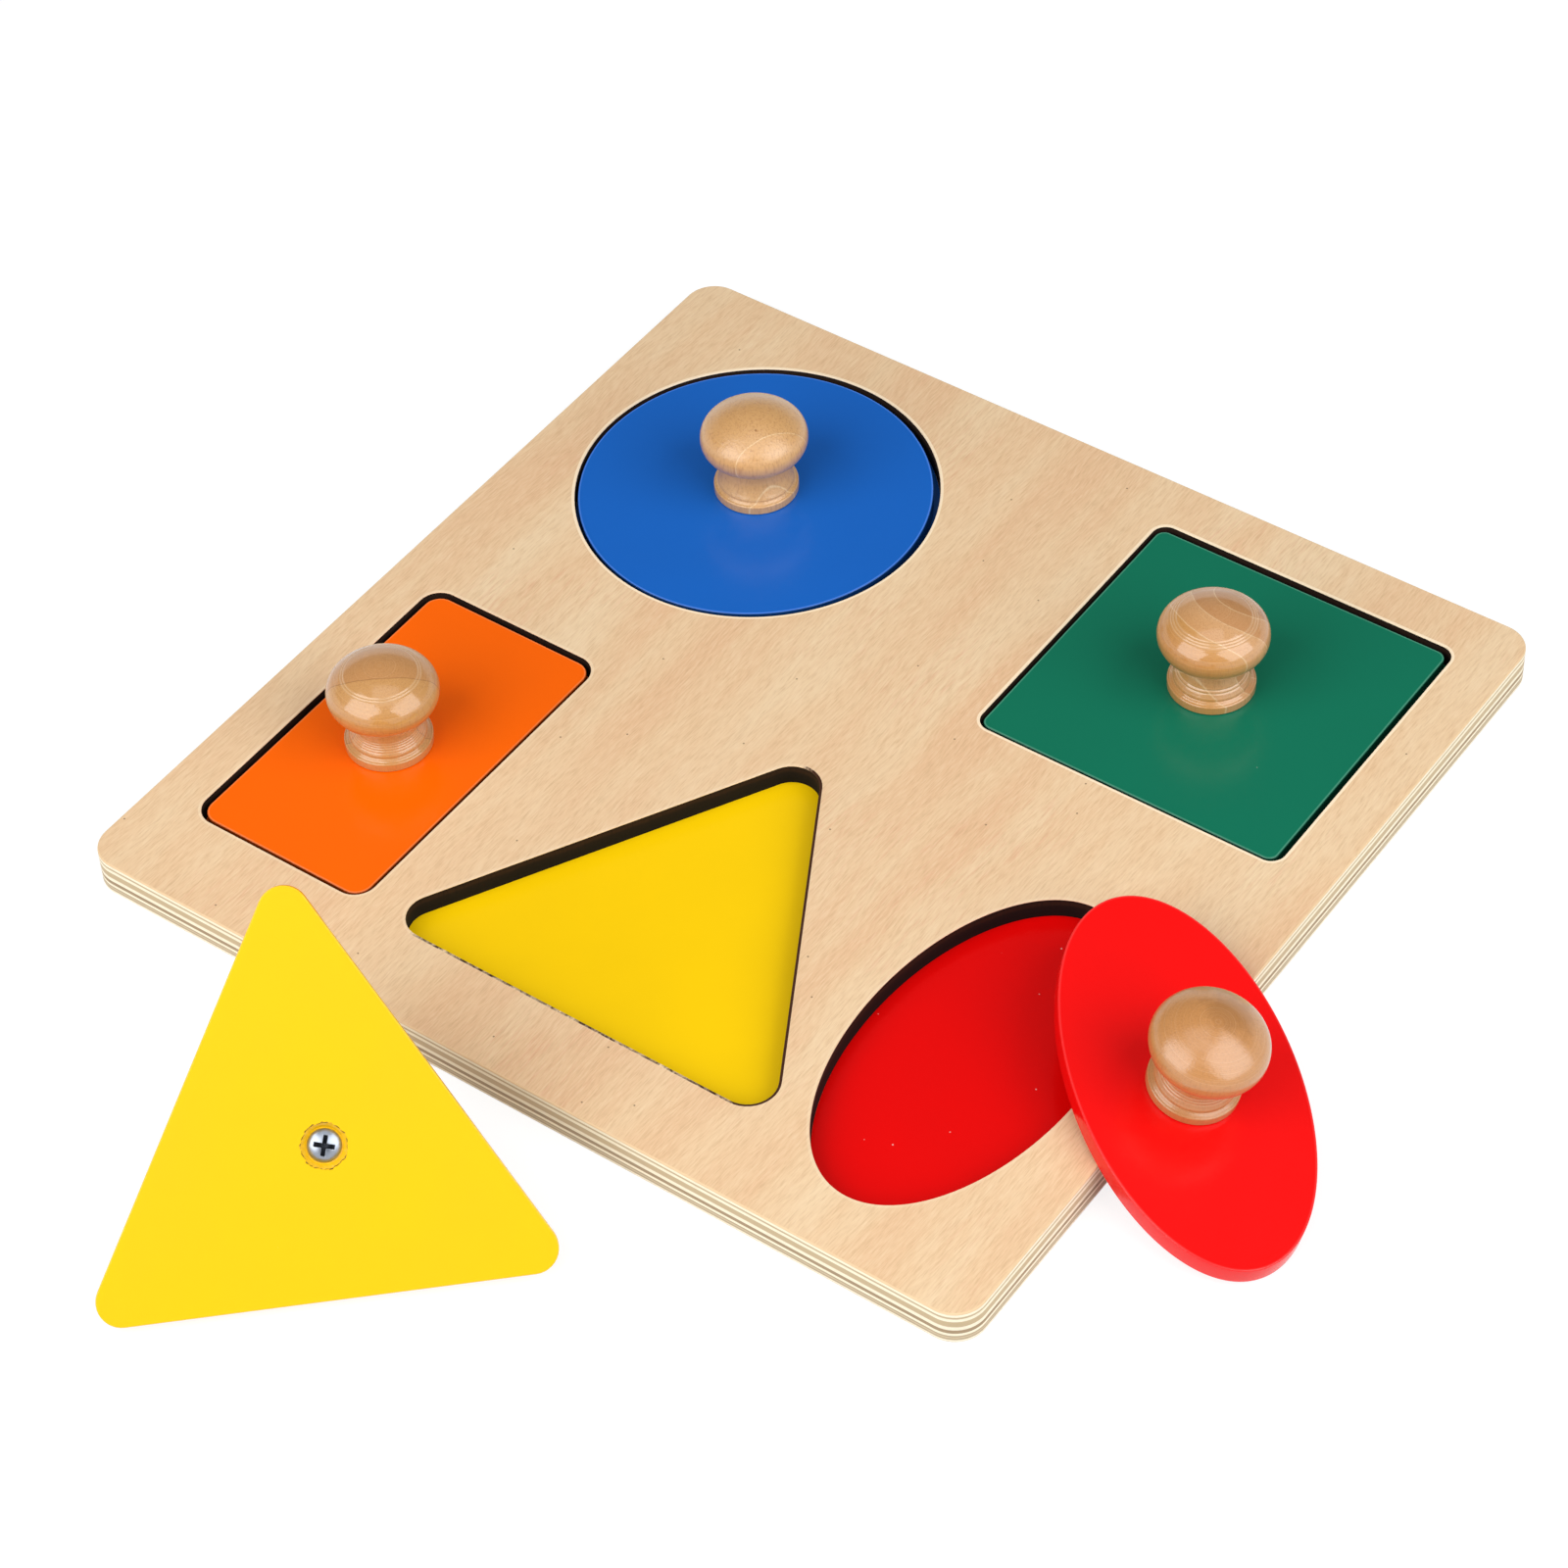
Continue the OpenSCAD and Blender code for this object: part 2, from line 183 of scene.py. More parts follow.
def birch_veneer():
    """Rotary-cut birch face veneer, sanded and lightly lacquered: a pale ground between beige and peach in
    soft bands along the grain, fine short pores, faint pink flecks, and pin knots. Grain runs along Y."""
    material, tree = new_material("birch_veneer")
    place = node(tree, "TexCoord", {}, "Object")
    mm = node(tree, "Mapping", {"Vector": place, "Scale": (1 / MM,) * 3})
    # Slow side-to-side drift of the grain, up to 3 mm each way over 60 mm
    drift = node(tree, "TexNoise", {"Vector": mm, "Scale": 1 / 60, "Detail": 1})
    shift = node(tree, "VectorMath", {0: node(tree, "CombineXYZ", {"X": drift}), "Scale": 6.0},
                 operation="SCALE")
    grain = node(tree, "VectorMath", {0: mm, 1: shift}, operation="ADD")
    # Bands about 18 mm wide, streaks about 1.2 mm wide, and pores drawn 0.45 mm wide so that they show
    bands = node(tree, "Mapping", {"Vector": grain, "Scale": (1 / 18, 1 / 120, 1 / 18)})
    band = node(tree, "TexNoise", {"Vector": bands, "Scale": 1.0, "Detail": 3, "Roughness": 0.55})
    streaks = node(tree, "Mapping", {"Vector": grain, "Scale": (1 / 1.2, 1 / 24, 1 / 1.2)})
    streak = node(tree, "TexNoise", {"Vector": streaks, "Scale": 1.0, "Detail": 3, "Roughness": 0.6})
    pores = node(tree, "Mapping", {"Vector": grain, "Scale": (1 / 0.45, 1 / 4.5, 1 / 0.45)})
    pore = node(tree, "TexNoise", {"Vector": pores, "Scale": 1.0, "Detail": 2, "Roughness": 0.6})
    ground = node(tree, "ValToRGB", {"Fac": band}, stops=[
        (0.32, linear("#edd1aa")), (0.5, linear("#eac89f")), (0.68, linear("#e7bf96"))])
    tone = node(tree, "MapRange", {"Value": streak, "From Min": 0.4, "From Max": 0.75, "To Max": 0.25})
    streaked = node(tree, "Mix", {0: tone, 6: ground, 7: linear("#dcb48b")}, 2, data_type="RGBA")
    # Pink flecks gather in patches some 40 mm across
    patch = node(tree, "TexNoise", {"Vector": mm, "Scale": 1 / 42, "Detail": 1})
    patch_in = node(tree, "MapRange", {"Value": patch, "From Min": 0.52, "From Max": 0.7})
    flecks = node(tree, "Mapping", {"Vector": grain, "Scale": (1 / 1.1, 1 / 11, 1 / 1.1)})
    fleck = node(tree, "TexNoise", {"Vector": flecks, "Scale": 1.0, "Detail": 2})
    fleck_in = node(tree, "MapRange", {"Value": fleck, "From Min": 0.5, "From Max": 0.75, "To Max": 0.5})
    pink_in = node(tree, "Math", {0: patch_in, 1: fleck_in}, operation="MULTIPLY")
    pinked = node(tree, "Mix", {0: pink_in, 6: streaked, 7: linear("#dfa683")}, 2, data_type="RGBA")
    pore_in = node(tree, "MapRange", {"Value": pore, "From Min": 0.5, "From Max": 0.76, "To Max": 0.42})
    pored = node(tree, "Mix", {0: pore_in, 6: pinked, 7: linear("#c39a70")}, 2, data_type="RGBA")
    shine_in = node(tree, "MapRange", {"Value": pore, "From Min": 0.48, "From Max": 0.26, "To Max": 0.28})
    lively = node(tree, "Mix", {0: shine_in, 6: pored, 7: linear("#fbe6c6")}, 2, data_type="RGBA")
    # Pin knots, about one in every 36 mm square, 0.4 mm across with a soft rim
    knot = node(tree, "TexVoronoi", {"Vector": mm, "Scale": 1 / 36}, voronoi_dimensions="2D")
    knot_in = node(tree, "MapRange", {"Value": knot, "From Min": 0.005, "From Max": 0.0095,
                                      "To Min": 0.8, "To Max": 0.0})
    knotted = node(tree, "Mix", {0: knot_in, 6: lively, 7: linear("#5b3a20")}, 2, data_type="RGBA")
    # Beside a laser cut a pale hair line is painted on the face as the highlight along the cut's edge, and
    # the face is scorched brown where the beam dwelt
    fringe = node(tree, "Attribute", {}, "Fac", attribute_name="fringe")
    with_cut_highlight = node(tree, "Mix", {0: fringe, 6: knotted, 7: linear("#ffeaca")}, 2, data_type="RGBA")
    scorch = node(tree, "Attribute", {}, "Fac", attribute_name="scorch")
    uneven = node(tree, "TexNoise", {"Vector": mm, "Scale": 1 / 2.5, "Detail": 4, "Roughness": 0.7})
    burnt = node(tree, "Math", {0: scorch, 1: uneven, 2: scorch}, operation="MULTIPLY_ADD")
    scorch_in = node(tree, "MapRange", {"Value": burnt, "From Min": 0.84, "From Max": 0.98})
    colour = node(tree, "Mix", {0: scorch_in, 6: with_cut_highlight, 7: linear("#3f1e08")}, 2, data_type="RGBA")
    gloss = node(tree, "MapRange", {"Value": streak, "To Min": 0.42, "To Max": 0.56})
    relief = node(tree, "Math", {0: pore, 1: streak}, operation="ADD")
    bump = node(tree, "Bump", {"Height": relief, "Strength": 0.25, "Distance": 0.05 * MM})
    surface = node(tree, "BsdfPrincipled", {"Base Color": colour, "Roughness": gloss, "Normal": bump,
                                            "IOR": 1.48})
    node(tree, "OutputMaterial", {"Surface": surface})
    return material


def ply_edge(board_t):
    """The sawn and sanded edge of birch plywood: veneers in turn along and across the grain, the crossing
    ones darker, with thin glue lines between. The height in the board picks the veneer."""
    material, tree = new_material("birch_ply_edge")
    light, pale, face = linear("#fff5dc"), linear("#dccaa8"), linear("#eaca9f")
    cross, dark, glue = linear("#cbb48e"), linear("#bda88a"), linear("#a68d6c")
    # Veneers from the underside up: (thickness, colour)
    veneers = [(0.3, dark), (0.75, light), (0.75, dark), (0.35, pale), (0.65, dark), (0.95, light),
               (1.35, glue), (1.4, light), (2.1, cross), (1.15, light), (0.75, cross), (0.95, light)]
    veneers += [(board_t - sum(t for t, _ in veneers), face)]
    stack = np.cumsum([t for t, _ in veneers])
    place = node(tree, "TexCoord", {}, "Object")
    mm = node(tree, "Mapping", {"Vector": place, "Scale": (1 / MM,) * 3})
    # Veneers wander up and down by about 0.1 mm over 50 mm
    waves = node(tree, "TexNoise", {"Vector": mm, "Scale": 1 / 50, "Detail": 1})
    wave = node(tree, "MapRange", {"Value": waves, "To Min": -0.2, "To Max": 0.2})
    up = node(tree, "SeparateXYZ", {"Vector": mm}, "Z")
    height = node(tree, "Math", {0: up, 1: wave}, operation="ADD")
    share = node(tree, "Math", {0: height, 1: board_t}, operation="DIVIDE")
    # Neighbouring veneers run into each other over 0.1 mm
    soft, stops = 0.05, []
    for (thick, colour), top in zip(veneers, stack):
        stops += [((top - thick + soft) / stack[-1], colour), ((top - soft) / stack[-1], colour)]
    layered = node(tree, "ValToRGB", {"Fac": share}, stops=stops)
    # Torn fibres, 0.2 mm tall and 3 mm long
    fibres = node(tree, "Mapping", {"Vector": mm, "Scale": (1 / 3, 1 / 3, 1 / 0.2)})
    fibre = node(tree, "TexNoise", {"Vector": fibres, "Scale": 1.0, "Detail": 2, "Roughness": 0.6})
    fibre_in = node(tree, "MapRange", {"Value": fibre, "From Min": 0.5, "From Max": 0.75, "To Max": 0.35})
    colour = node(tree, "Mix", {0: fibre_in, 6: layered, 7: linear("#c9ae88")}, 2, data_type="RGBA")
    bump = node(tree, "Bump", {"Height": fibre, "Strength": 0.3, "Distance": 0.08 * MM})
    surface = node(tree, "BsdfPrincipled", {"Base Color": colour, "Roughness": 0.6, "Normal": bump,
                                            "IOR": 1.48})
    node(tree, "OutputMaterial", {"Surface": surface})
    return material


base_lo, base_hi = node_box("base_panel")
frame_lo, frame_hi = node_box("frame_panel")
board_t = frame_hi[2]
corner_in = np.array([board_corner_r, board_corner_r])
board_low, board_high = base_lo[:2] + corner_in, base_hi[:2] - corner_in
board_outline = rounded_outline(
    [board_low, (board_high[0], board_low[1]), board_high, (board_low[0], board_high[1])], board_corner_r)
veneer, edge = birch_veneer(), ply_edge(board_t)
points, upper, lower, (side,) = panel([
    (*board_outline, wall_profile(base_lo[2], base_hi[2], board_arris_r, glue_arris_r))])
add_piece("base_panel_board", "board", "plywood", points,
          [(upper, 0, False), (lower, 0, False), (side.reshape(-1, 4), 1, True)], [veneer, edge],
          fringe=np.zeros(len(points)), scorch=np.zeros(len(points)))


# Frame panel
# The upper sheet of the board: 7 mm birch plywood with five shapes cut right through it by laser. The beam
# chars the walls of the cut-outs and scorches their upper edges brown in places, and a pale line is painted
# along those edges as their highlight.
SHAPES = ("circle", "square", "rectangle", "triangle", "oval")
fit_gap = 1.5
floor_gap = 0.1
plate_corner_r = {"square": 3.2, "rectangle": 5.3, "triangle": 6.8}
# How far each cut is scorched, how much that grows towards its right side, and how strongly its upper edge
# is painted pale as a highlight
cut_heat = {"circle": 0.3, "square": 0.3, "rectangle": 0.3, "triangle": 0.62, "oval": 0.5}
heat_swing = {"circle": 0, "square": 0, "rectangle": 0, "triangle": 0.36, "oval": 0}
cut_highlight_share = {"circle": 0.85, "square": 0.85, "rectangle": 0.35, "triangle": 0.25, "oval": 0.25}
cut_arris_r = 0.2
fringe_w = 0.95
scorch_w = 0.8
scorch_fade = 0.05
pale_lip = 0.3


def oval_outline(centre, half, steps=180):
    """An ellipse: (a cos t, b sin t) round its centre, facing out along (cos t / a, sin t / b)."""
    t = np.linspace(0, 2 * pi, steps, endpoint=False)
    ring = np.stack([np.cos(t), np.sin(t)], 1)
    aims = ring / half
    return centre + half * ring, aims / np.linalg.norm(aims, axis=1, keepdims=True)


def inset_outline(shape, grow):
    """The outline of an inset on the board, grown by a gap. Its middle and reach come from the floor of
    its recess, which is larger than the inset by the fit less the floor's own gap."""
    lo, hi = (corner[:2] for corner in node_box(shape + "_floor"))
    middle, extra = (lo + hi) / 2, grow - (fit_gap - floor_gap)
    if shape not in plate_corner_r:
        return oval_outline(middle, (hi - lo) / 2 + extra)
    r = plate_corner_r[shape] + fit_gap - floor_gap
    low, high = lo + r, hi - r
    if shape == "triangle":
        centres = [low, (high[0], low[1]), (middle[0], high[1])]
    else:
        centres = [low, (high[0], low[1]), high, (low[0], high[1])]
    return rounded_outline(centres, r + extra)


def laser_char(low, high):
    """Charred wood on the wall of a cut: near black and darkest in its lower part, with a dark brown band in
    its upper half, and faint upright striations about 0.6 mm apart."""
    material, tree = new_material("laser_charred_birch")
    place = node(tree, "TexCoord", {}, "Object")
    mm = node(tree, "Mapping", {"Vector": place, "Scale": (1 / MM,) * 3})
    lines = node(tree, "Mapping", {"Vector": mm, "Scale": (1 / 0.6, 1 / 0.6, 1 / 9)})
    line = node(tree, "TexNoise", {"Vector": lines, "Scale": 1.0, "Detail": 2})
    waves = node(tree, "TexNoise", {"Vector": mm, "Scale": 1 / 12, "Detail": 2})
    # The brown band wanders up and down by about 0.5 mm over 12 mm
    wave = node(tree, "MapRange", {"Value": waves, "To Min": -1.0, "To Max": 1.0})
    up = node(tree, "SeparateXYZ", {"Vector": mm}, "Z")
    height = node(tree, "Math", {0: up, 1: wave}, operation="ADD")
    share = node(tree, "MapRange", {"Value": height, "From Min": low, "From Max": high})
    soot = node(tree, "ValToRGB", {"Fac": share}, stops=[
        (0.3, linear("#0d0806")), (0.6, linear("#160c07")), (0.74, linear("#2e1b0f")),
        (0.86, linear("#28170c")), (0.95, linear("#140b06"))])
    line_in = node(tree, "MapRange", {"Value": line, "From Min": 0.5, "From Max": 0.8, "To Max": 0.5})
    colour = node(tree, "Mix", {0: line_in, 6: soot, 7: linear("#0a0604")}, 2, data_type="RGBA")
    bump = node(tree, "Bump", {"Height": line, "Strength": 0.4, "Distance": 0.1 * MM})
    surface = node(tree, "BsdfPrincipled", {"Base Color": colour, "Roughness": 0.85, "Normal": bump,
                                            "Specular IOR Level": 0.25})
    node(tree, "OutputMaterial", {"Surface": surface})
    return material


char = laser_char(frame_lo[2], frame_hi[2])
outer_profile = wall_profile(frame_lo[2], frame_hi[2], glue_arris_r, board_arris_r)
# The painted highlight along a cut fades over rings that lie flat on the upper face, and reaches a little
# way down the wall
cut_profile = wall_profile(frame_lo[2], frame_hi[2], glue_arris_r, cut_arris_r)
arris, wall = np.split(cut_profile, 2)
fade = [[width, frame_hi[2]] for width in (fringe_w, scorch_w + scorch_fade, scorch_w)]
lip = [[0, frame_hi[2] - pale_lip]]
cut_profile = np.concatenate([fade, arris, lip, wall])
fringe_row, scorch_row = np.ones(len(cut_profile)), np.ones(len(cut_profile))
fringe_row[0] = 0
scorch_row[:2] = 0
walls = [(*board_outline, outer_profile)]
fringe, scorch = ([np.zeros(len(outer_profile) * len(board_outline[0]))] for _ in range(2))
for shape in SHAPES:
    outline, aims = inset_outline(shape, fit_gap)
    walls.append((outline[::-1], -aims[::-1], cut_profile))
    heat = cut_heat[shape] + heat_swing[shape] * aims[::-1, 0]
    fringe.append(np.repeat(cut_highlight_share[shape] * fringe_row, len(outline)))
    scorch.append(np.outer(scorch_row, heat).ravel())
points, upper, lower, sides = panel(walls)
pale_rows = len(fade) + len(arris)
patches = [(upper, 0, False), (lower, 0, False), (sides[0].reshape(-1, 4), 1, True)]
for side in sides[1:]:
    patches += [(side[:pale_rows].reshape(-1, 4), 0, False), (side[pale_rows:].reshape(-1, 4), 2, True)]
add_piece("frame_panel_board", "board", "plywood", points, patches, [veneer, edge, char],
          fringe=np.concatenate(fringe), scorch=np.concatenate(scorch))


# Coloured floors
# The bottom of each recess, painted in its inset's colour before the two sheets were glued together. The
# solid is already a plain thin sheet, so it stays and takes the paint.
# The red floor is painted a darker red than its plate, as painted shade in its recess
floor_paint = {"circle": "#1764c2", "square": "#0e7256", "rectangle": "#fe6700", "triangle": "#fdcf04",
               "oval": "#e50202"}
floor_dust_spacing = {"circle": 16.0, "square": 16.0, "rectangle": 16.0, "triangle": 16.0, "oval": 7.0}
floor_dust_r = 0.3


def enamel(name, code, dust_spacing, dust_r):
    """Sprayed satin enamel on sanded wood: an even colour with a faint cloudiness, the fine orange peel of
    spray paint at about 1.5 mm, and a few pale specks of dust caught in it. A lighter tint is painted along
    the rounded edges as a highlight, the paint is torn dark round a drilled hole, and where a plate sits in
    the board its edge is painted dark as shade from the gap round it."""
    material, tree = new_material(name)
    place = node(tree, "TexCoord", {}, "Object")
    mm = node(tree, "Mapping", {"Vector": place, "Scale": (1 / MM,) * 3})
    cloud = node(tree, "TexNoise", {"Vector": mm, "Scale": 1 / 28, "Detail": 2})
    cloud_in = node(tree, "MapRange", {"Value": cloud, "From Min": 0.3, "From Max": 0.7,
                                       "To Min": 0.0, "To Max": 0.12})
    # Cloudy places have 78 % of the colour's light, torn ones and the painted shade on a seated edge 12 %,
    # and the painted highlight on an edge has half as much again and a little white
    base = np.array(linear(code)[:3])
    tones = 0.78 * base, 0.12 * base, np.minimum(1.5 * base + 0.08, 1)
    deep, dark, highlight_tint = ((*tone.tolist(), 1.0) for tone in tones)
    ground = node(tree, "Mix", {0: cloud_in, 6: linear(code), 7: deep}, 2, data_type="RGBA")
    speck = node(tree, "TexVoronoi", {"Vector": mm, "Scale": 1 / dust_spacing})
    speck_in = node(tree, "MapRange", {"Value": speck, "From Min": 0.5 * dust_r / dust_spacing,
                                       "From Max": dust_r / dust_spacing, "To Min": 0.55, "To Max": 0.0})
    dusty = node(tree, "Mix", {0: speck_in, 6: ground, 7: linear("#f6efe6")}, 2, data_type="RGBA")
    worn = node(tree, "Attribute", {}, "Fac", attribute_name="worn")
    edge_lit = node(tree, "Mix", {0: worn, 6: dusty, 7: highlight_tint}, 2, data_type="RGBA")
    torn = node(tree, "Attribute", {}, "Fac", attribute_name="torn")
    flakes = node(tree, "TexNoise", {"Vector": mm, "Scale": 1 / 1.2, "Detail": 3, "Roughness": 0.7})
    flaked = node(tree, "MapRange", {"Value": flakes, "From Min": 0.4, "From Max": 0.56})
    torn_in = node(tree, "Math", {0: torn, 1: flaked}, operation="MULTIPLY")
    chipped = node(tree, "Mix", {0: torn_in, 6: edge_lit, 7: dark}, 2, data_type="RGBA")
    soot = node(tree, "Attribute", {}, "Fac", attribute_name="soot")
    colour = node(tree, "Mix", {0: soot, 6: chipped, 7: dark}, 2, data_type="RGBA")
    peel = node(tree, "TexNoise", {"Vector": mm, "Scale": 1 / 1.5, "Detail": 1})
    bump = node(tree, "Bump", {"Height": peel, "Strength": 0.12, "Distance": 0.05 * MM})
    gloss = node(tree, "MapRange", {"Value": cloud, "To Min": 0.2, "To Max": 0.27})
    surface = node(tree, "BsdfPrincipled", {"Base Color": colour, "Roughness": gloss, "Normal": bump,
                                            "IOR": 1.45})
    node(tree, "OutputMaterial", {"Surface": surface})
    return material


for shape in SHAPES:
    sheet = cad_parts[shape + "_floor"].data
    sheet.materials.clear()
    sheet.materials.append(
        enamel(shape + "_floor_enamel", floor_paint[shape], floor_dust_spacing[shape], floor_dust_r))


# Inset plates
# One painted plate for each recess, cut from 5.7 mm board, its edges sanded round before it was sprayed. A
# lighter tint is painted along the edges as a highlight, and the three seated ones have their edges painted
# dark as shade from the gap round them. A screw hole goes through the plate, with a counterbore in the back
# that leaves a ragged rim of paint.
plate_t = 5.7
plate_arris_r = 0.35
# How far the painted highlight reaches in from a plate's rounded edge, how strongly it is painted, and how
# dark the seated plates' edges are painted as shade from the gap round them
edge_light_reach = 0.4
edge_highlight = {"circle": 0.9, "square": 1.0, "rectangle": 0.7, "triangle": 0.0, "oval": 0.4}
edge_soot = {"circle": 0.78, "square": 0.78, "rectangle": 0.78, "triangle": 0.0, "oval": 0.0}
face_rings = 7
screw_hole_r = 2.3
counterbore_r = 6.0
counterbore_t = 2.5
counterbore_rim_r = 0.15
counterbore_low_r = 4.9
counterbore_low_t = 2.1
torn_w = 0.2
# Waves of the torn rim: (height, count round the hole, phase), and how much higher they are on the back
rim_waves = [(0.09, 7, 1), (0.07, 17, 0), (0.05, 31, 2)]
rim_flare = 1.6
# Where the screw hole lies from the middle of a plate, or of the triangle's base
hole = {"circle": (-0.7, 1.6), "square": (-2, 1.3), "rectangle": (-2.4, -1.4), "triangle": (-3.1, 40.28),
        "oval": (0.9, -2.2)}
plate_paint = {"circle": "#1764c2", "square": "#0e7256", "rectangle": "#fe6700", "triangle": "#fdc512",
               "oval": "#f30b0b"}
paint_slot = {"circle": "blue_paint", "square": "green_paint", "rectangle": "orange_paint",
              "triangle": "yellow_paint", "oval": "red_paint"}
plate_dust_spacing = 24.0
plate_dust_r = 0.25
table_gap = 0.1
lean_gap = 0.25
# The oval's middle lies out from the board's right edge and forward of the board's middle, and the middle of
# the triangle's base lies right of the board's middle and forward of its front edge. Both are turned.
oval_lie, oval_turn = (4.3, 52.1), radians(50.5)
triangle_lie, triangle_turn = (2.8, 77.3), radians(43.2)
# The triangle rests on the base of its plate and on the round rim of its knob's head
head_r = 16.4
head_z = 20.5
head_rim_r = 6.8
rim_reach = hole["triangle"][1] - (head_r - head_rim_r)
triangle_tilt = atan2(head_z, rim_reach) + asin(head_rim_r / hypot(head_z, rim_reach))


def seat_of(shape):
    """Where an inset lies: the matrix that carries it from flat, its back at zero height, to its place. The
    triangle is turned over and tilted, the oval is tilted on the board's edge, and the others stay flat."""
    if shape == "triangle":
        return (Matrix.Translation((triangle_lie[0], base_lo[1] - triangle_lie[1], table_gap))
                @ Matrix.Rotation(triangle_turn, 4, "Z") @ Matrix.Rotation(triangle_tilt, 4, "X")
                @ Matrix.Translation((0, 0, plate_t)) @ Matrix.Rotation(pi, 4, "Y"))
    lo, hi = node_box(shape + "_floor")
    if shape == "oval":
        half = (hi - lo) / 2 - (fit_gap - floor_gap)
        reach = hypot(half[0] * cos(oval_turn), half[1] * sin(oval_turn))
        tilt = asin((board_t + lean_gap - table_gap) / (oval_lie[0] + reach))
        return (Matrix.Translation((base_hi[0], -oval_lie[1], board_t + lean_gap))
                @ Matrix.Rotation(tilt, 4, "Y") @ Matrix.Translation((oval_lie[0], 0, 0))
                @ Matrix.Rotation(oval_turn, 4, "Z"))
    lo, hi = node_box(shape + "_plate")
    return Matrix.Translation((*(lo + hi)[:2] / 2, lo[2]))


def carried(points, matrix):
    """Points moved by a matrix."""
    m = np.array(matrix)
    return points @ m[:3, :3].T + m[:3, 3]


seats = {shape: seat_of(shape) for shape in SHAPES}
for shape in SHAPES:
    outline, aims = inset_outline(shape, 0)
    # A plate is drawn round its middle, and the triangle round the middle of its base
    lo, hi = (corner[:2] for corner in node_box(shape + "_floor"))
    middle = (lo + hi) / 2
    if shape == "triangle":
        middle[1] = lo[1] + fit_gap - floor_gap
    outline = outline - middle
    centre = np.array(hole[shape])
    spokes = outline - centre
    angle = np.arctan2(spokes[:, 1], spokes[:, 0])
    spokes = spokes / np.linalg.norm(spokes, axis=1, keepdims=True)
    # The counterbore's rim wavers by up to 0.2 mm where the paint tore
    ragged = sum(high * np.sin(count * angle + phase) for high, count, phase in rim_waves)[:, None]
    bore = centre + (counterbore_r + ragged) * spokes
    rim = centre + (counterbore_r + counterbore_rim_r + rim_flare * ragged) * spokes
    lip = rim + torn_w * spokes
    neck, low = (centre + r * spokes for r in (screw_hole_r, counterbore_low_r))
    wall = wall_profile(0, plate_t, plate_arris_r, plate_arris_r)[::-1]
    inner = outline - (plate_arris_r + edge_light_reach) * aims
    face = np.linspace(0, 1, face_rings + 2)[1:-1]
    # Rings of (outline, height, painted edge highlight, tear), from the screw hole over the back, the edge
    # and the face
    back = [(neck, counterbore_t, 0, 0), (low, counterbore_low_t, 0, 0),
            (bore, counterbore_rim_r + torn_w, 0, 0), (bore, counterbore_rim_r, 0, 1),
            (rim, 0, 0, 1), (lip, 0, 0, 0)]
    back += [(lip + t * (inner - lip), 0, 0, 0) for t in face] + [(inner, 0, 0, 0)]
    edge_rings = [(outline - d * aims, z, edge_highlight[shape] * d / plate_arris_r, 0) for d, z in wall]
    front = [(inner + t * (neck - inner), plate_t, 0, 0) for t in (0, *face, 1)]
    rings = back + edge_rings + front
    points = np.concatenate([np.c_[ring[0], np.full(len(outline), ring[1])] for ring in rings])
    worn, torn = (np.repeat([ring[i] for ring in rings], len(outline)) for i in (2, 3))
    # The seated plates' upright edges are painted dark as shade from the gap round them
    soot = np.zeros(len(rings))
    soot[len(back):-len(front)] = edge_soot[shape] * (1 - wall[:, 0] / plate_arris_r)
    faces = ring_faces(len(rings), len(outline), closed=True).reshape(len(rings), len(outline), 4)[..., ::-1]
    back_rows = len(back)
    round_rows = back_rows + len(wall) - 1
    patches = [(faces[:back_rows].reshape(-1, 4), 0, False),
               (faces[back_rows:round_rows].reshape(-1, 4), 0, True),
               (faces[round_rows:].reshape(-1, 4), 0, False)]
    lacquer = enamel(shape + "_enamel", plate_paint[shape], plate_dust_spacing, plate_dust_r)
    add_piece(shape + "_plate_painted", shape + "_inset", paint_slot[shape], carried(points, seats[shape]),
              patches, [lacquer], worn=worn, torn=torn, soot=np.repeat(soot, len(outline)))


# Knobs
# A beech knob on each inset, turned on a lathe and varnished. The grain runs up through the knob, so its
# growth rings cross the top as curved lines and run down its sides, and the tool left fine rings.
knob_h = 30.7
head_under_r = 6.3
neck_r = 9.05
neck_z = 12.8
foot_r = 12.95
foot_h = 3.2
foot_arris_r = 0.6
foot_step = 0.7
profile_steps = 400
knob_round = 112
growth_line_w = 0.18
groove_w = 0.22
groove_depth = 0.2
ring_depth = 0.1
# How pale a ring on the dome and a groove below the head are painted, for the varnish in them and the
# highlight along them, and at most
ring_pale, groove_pale, most_pale = 0.2, 0.35, 0.4


def arc(centre, r, start, end, steps=24):
    """Points on a circle from one angle to another."""
    a = np.linspace(start, end, steps)
    return np.array(centre) + r * np.stack([np.cos(a), np.sin(a)], 1)


